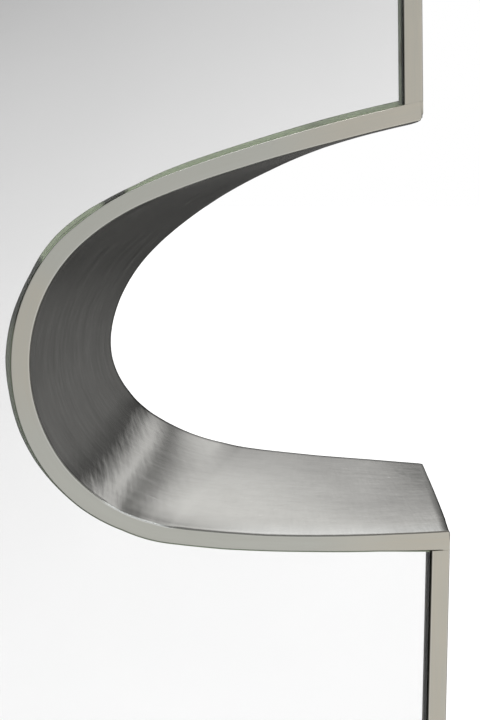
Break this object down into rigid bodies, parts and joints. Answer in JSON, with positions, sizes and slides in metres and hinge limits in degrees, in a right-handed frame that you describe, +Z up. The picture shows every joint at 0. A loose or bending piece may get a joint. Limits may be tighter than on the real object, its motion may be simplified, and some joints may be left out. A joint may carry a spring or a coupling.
{
  "type": "accent mirror",
  "caption": "Wall mirror in a brushed metal case, with a deep curved notch in its right side lined by a twisted metal band",
  "frame": {"origin": "middle of the back panel's wall side, on the wall plane and at mid height", "axes": "+Z up, +Y square to the wall and into it, -Y out of the mirror's face, +X to the right when facing the mirror"},
  "size_m": [0.61, 0.09, 0.914],
  "materials": {
    "strip_metal": "polished, warm grey",
    "skirt_metal": "brushed along its length",
    "band_metal": "brushed along the band",
    "clear_glass": "clear, polished edges",
    "silvering": "silvered",
    "mastic": "matt",
    "board_wood": "fibreboard",
    "batten_wood": "planed softwood",
    "plywood": "sanded plywood",
    "panel_board": "smooth hardboard",
    "zinc_steel": "zinc plated",
    "block_rubber": "matt"
  },
  "bodies": {
    "root": {"strip_top": "strip_metal", "strip_left": "strip_metal", "strip_bottom": "strip_metal", "strip_right_upper": "strip_metal", "strip_right_lower": "strip_metal", "strip_notch": "strip_metal", "skirt_top": "skirt_metal", "skirt_left": "skirt_metal", "skirt_bottom": "skirt_metal", "skirt_right_upper": "skirt_metal", "skirt_right_lower": "skirt_metal", "notch_band": "band_metal", "mirror_glass": "clear_glass", "mirror_silvering": "silvering", "mastic_beads": "mastic", "backing_board": "board_wood", "batten_top": "batten_wood", "batten_left": "batten_wood", "batten_bottom": "batten_wood", "batten_right_upper": "batten_wood", "batten_right_lower": "batten_wood", "hanging_rail": "batten_wood", "notch_posts": "batten_wood", "corner_blocks": "batten_wood", "notch_former_front": "plywood", "notch_former_back": "plywood", "back_panel": "panel_board", "hanger_plates": "zinc_steel", "hanger_screws": "zinc_steel", "setting_blocks": "block_rubber"}
  },
  "joints": []
}
